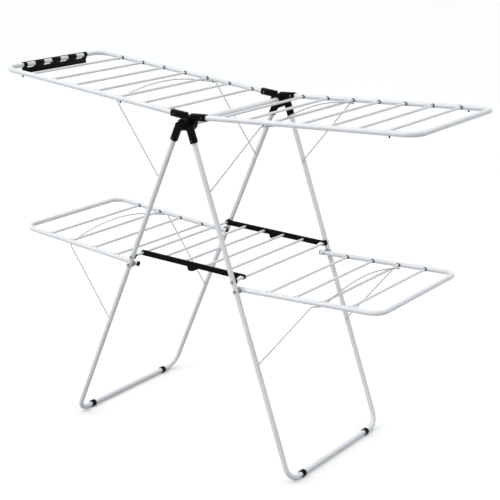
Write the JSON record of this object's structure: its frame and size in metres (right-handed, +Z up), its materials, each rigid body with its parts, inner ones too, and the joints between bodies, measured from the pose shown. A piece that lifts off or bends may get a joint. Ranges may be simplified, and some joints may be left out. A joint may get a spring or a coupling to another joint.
{
  "type": "folding clothes airer",
  "caption": "Folding tubular clothes airer with upper and lower wings, a hooked centre tray, wire props and a hanger clip",
  "frame": {"origin": "on the floor, midway between the wing ends and between front and back", "axes": "+X along the length to the right, +Y from front to back, +Z up"},
  "size_m": [1.5448, 0.563, 1.1415],
  "materials": {
    "coated_tube": "pale grey powder coat, satin",
    "rods": "pale grey powder coat, satin",
    "hub_plastic": "black moulded plastic, fine grain",
    "tray_plastic": "black moulded plastic, fine grain",
    "clip_plastic": "black moulded plastic, fine grain",
    "pin_plastic": "black moulded plastic, half gloss",
    "foot_plastic": "soft black plastic",
    "wire": "pale grey coated spring wire"
  },
  "bodies": {
    "stand": {"leg_frame_left": "coated_tube", "foot_ring_left_front": "foot_plastic", "leg_socket_left_front": "hub_plastic", "pivot_pin_left_front": "pin_plastic", "foot_ring_left_back": "foot_plastic", "leg_socket_left_back": "hub_plastic", "pivot_pin_left_back": "pin_plastic", "tray_axle": "rods", "centre_tube": "coated_tube"},
    "right_legs": {"leg_frame_right": "coated_tube", "foot_ring_right_front": "foot_plastic", "leg_socket_right_front": "hub_plastic", "pivot_pin_right_front": "pin_plastic", "foot_ring_right_back": "foot_plastic", "leg_socket_right_back": "hub_plastic", "pivot_pin_right_back": "pin_plastic", "tray_cross_rod": "rods"},
    "upper_left_wing": {"wing_socket_left_front": "hub_plastic", "wing_socket_left_back": "hub_plastic", "upper_wing_frame_left": "coated_tube", "upper_rod_left_1": "rods", "upper_rod_left_2": "rods", "upper_rod_left_3": "rods", "upper_rod_left_4": "rods", "upper_rod_left_5": "rods", "upper_rod_left_6": "rods", "upper_rod_left_7": "rods", "hanger_clip": "clip_plastic"},
    "upper_right_wing": {"wing_socket_right_front": "hub_plastic", "wing_socket_right_back": "hub_plastic", "upper_wing_frame_right": "coated_tube", "upper_rod_right_1": "rods", "upper_rod_right_2": "rods", "upper_rod_right_3": "rods", "upper_rod_right_4": "rods", "upper_rod_right_5": "rods", "upper_rod_right_6": "rods", "upper_rod_right_7": "rods"},
    "lower_left_wing": {"lower_wing_frame_left": "coated_tube", "lower_rod_left_1": "rods", "lower_rod_left_2": "rods", "lower_rod_left_3": "rods", "lower_rod_left_4": "rods"},
    "lower_right_wing": {"lower_wing_frame_right": "coated_tube", "lower_rod_right_1": "rods", "lower_rod_right_2": "rods", "lower_rod_right_3": "rods", "lower_rod_right_4": "rods"},
    "centre_tray": {"tray_bar_front": "tray_plastic", "tray_bar_back": "tray_plastic", "tray_rod_1": "rods", "tray_rod_2": "rods", "tray_rod_3": "rods", "tray_rod_4": "rods"},
    "upper_left_prop": {"prop_wire_upper_left": "wire"},
    "upper_right_prop": {"prop_wire_upper_right": "wire"},
    "lower_left_prop": {"prop_wire_lower_left": "wire"},
    "lower_right_prop": {"prop_wire_lower_right": "wire"}
  },
  "joints": [
    {"name": "leg_hinge", "type": "hinge", "parent": "stand", "child": "right_legs", "pos_m": [0, 0, 1.057], "axis": [0, 1, 0], "range_deg": [0, 38]},
    {"name": "upper_left_wing_hinge", "type": "hinge", "parent": "stand", "child": "upper_left_wing", "pos_m": [0, 0, 1.057], "axis": [0, 1, 0], "range_deg": [-36, 0]},
    {"name": "upper_right_wing_hinge", "type": "hinge", "parent": "stand", "child": "upper_right_wing", "pos_m": [0, 0, 1.057], "axis": [0, -1, 0], "range_deg": [-36, 0]},
    {"name": "lower_left_wing_hinge", "type": "hinge", "parent": "stand", "child": "lower_left_wing", "pos_m": [-0.20848, 0, 0.5735], "axis": [0, 1, 0], "range_deg": [-60, 0]},
    {"name": "lower_right_wing_hinge", "type": "hinge", "parent": "right_legs", "child": "lower_right_wing", "pos_m": [0.2046, 0, 0.5735], "axis": [0, -1, 0], "range_deg": [-60, 0]},
    {"name": "upper_left_prop_hinge", "type": "hinge", "parent": "stand", "child": "upper_left_prop", "pos_m": [-0.09451, 0, 0.862], "axis": [0, 1, 0], "range_deg": [-108, 0]},
    {"name": "lower_left_prop_hinge", "type": "hinge", "parent": "stand", "child": "lower_left_prop", "pos_m": [-0.2944, 0, 0.356], "axis": [0, 1, 0], "range_deg": [-141.6, 0]},
    {"name": "upper_right_prop_hinge", "type": "hinge", "parent": "right_legs", "child": "upper_right_prop", "pos_m": [0.09326, 0, 0.862], "axis": [0, -1, 0], "range_deg": [-108, 0]},
    {"name": "lower_right_prop_hinge", "type": "hinge", "parent": "right_legs", "child": "lower_right_prop", "pos_m": [0.28854, 0, 0.356], "axis": [0, -1, 0], "range_deg": [-141.6, 0]},
    {"name": "tray_hinge", "type": "hinge", "parent": "stand", "child": "centre_tray", "pos_m": [-0.19702, 0, 0.6025], "axis": [0, -1, 0], "range_deg": [0, 68.4]}
  ],
  "couplings": [
    {"joint": "tray_hinge", "follows": "leg_hinge", "ratio": 1.8},
    {"joint": "upper_left_prop_hinge", "follows": "upper_left_wing_hinge", "ratio": 3},
    {"joint": "lower_left_prop_hinge", "follows": "lower_left_wing_hinge", "ratio": 2.36},
    {"joint": "upper_right_prop_hinge", "follows": "upper_right_wing_hinge", "ratio": 3},
    {"joint": "lower_right_prop_hinge", "follows": "lower_right_wing_hinge", "ratio": 2.36}
  ]
}
